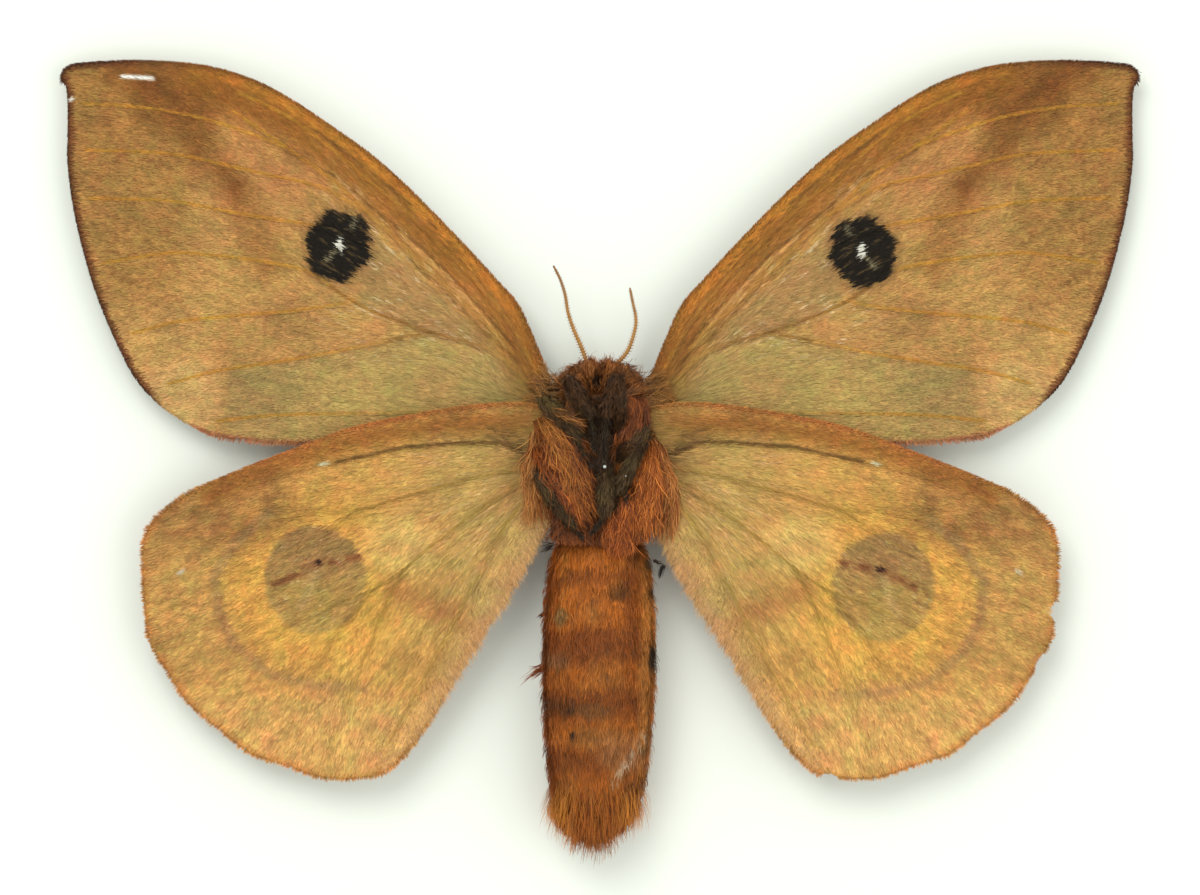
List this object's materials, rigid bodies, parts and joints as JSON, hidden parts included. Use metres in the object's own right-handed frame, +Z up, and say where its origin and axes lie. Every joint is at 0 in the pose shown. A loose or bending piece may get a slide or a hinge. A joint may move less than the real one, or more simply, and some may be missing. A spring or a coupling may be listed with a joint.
{
  "type": "automeris zugana moth",
  "caption": "Dried silk moth lying on its back with its wings spread flat and its underside up, as a still, life-size specimen.",
  "frame": {"origin": "on the floor, under the middle of the spread moth", "axes": "+X across the wings towards the moth's own left side, +Y towards its head, +Z up out of its underside"},
  "size_m": [0.112, 0.0832, 0.0125],
  "materials": {
    "forewing_scales": "matte brown scales, greyer towards the rear edge",
    "hindwing_scales": "matte ochre scales with a grey ring",
    "thorax_hair": "long soft orange-brown hair",
    "abdomen_hair": "short orange-brown hair in dark and light bands",
    "head_hair": "dark brown hair",
    "leg_hair": "short olive-black hair",
    "eye": "glossy black-brown facets",
    "antenna": "ochre horn, ringed"
  },
  "bodies": {
    "root": {"head": "head_hair", "eye_left": "eye", "eye_right": "eye", "antenna_left": "antenna", "antenna_right": "antenna", "palp_left": "head_hair", "palp_right": "head_hair", "thorax": "thorax_hair", "abdomen": "abdomen_hair", "forewing_left": "forewing_scales", "forewing_right": "forewing_scales", "hindwing_left": "hindwing_scales", "hindwing_right": "hindwing_scales", "foreleg_left": "leg_hair", "foreleg_right": "leg_hair", "midleg_left": "leg_hair", "midleg_right": "leg_hair", "hindleg_left": "leg_hair", "hindleg_right": "leg_hair"}
  },
  "joints": []
}
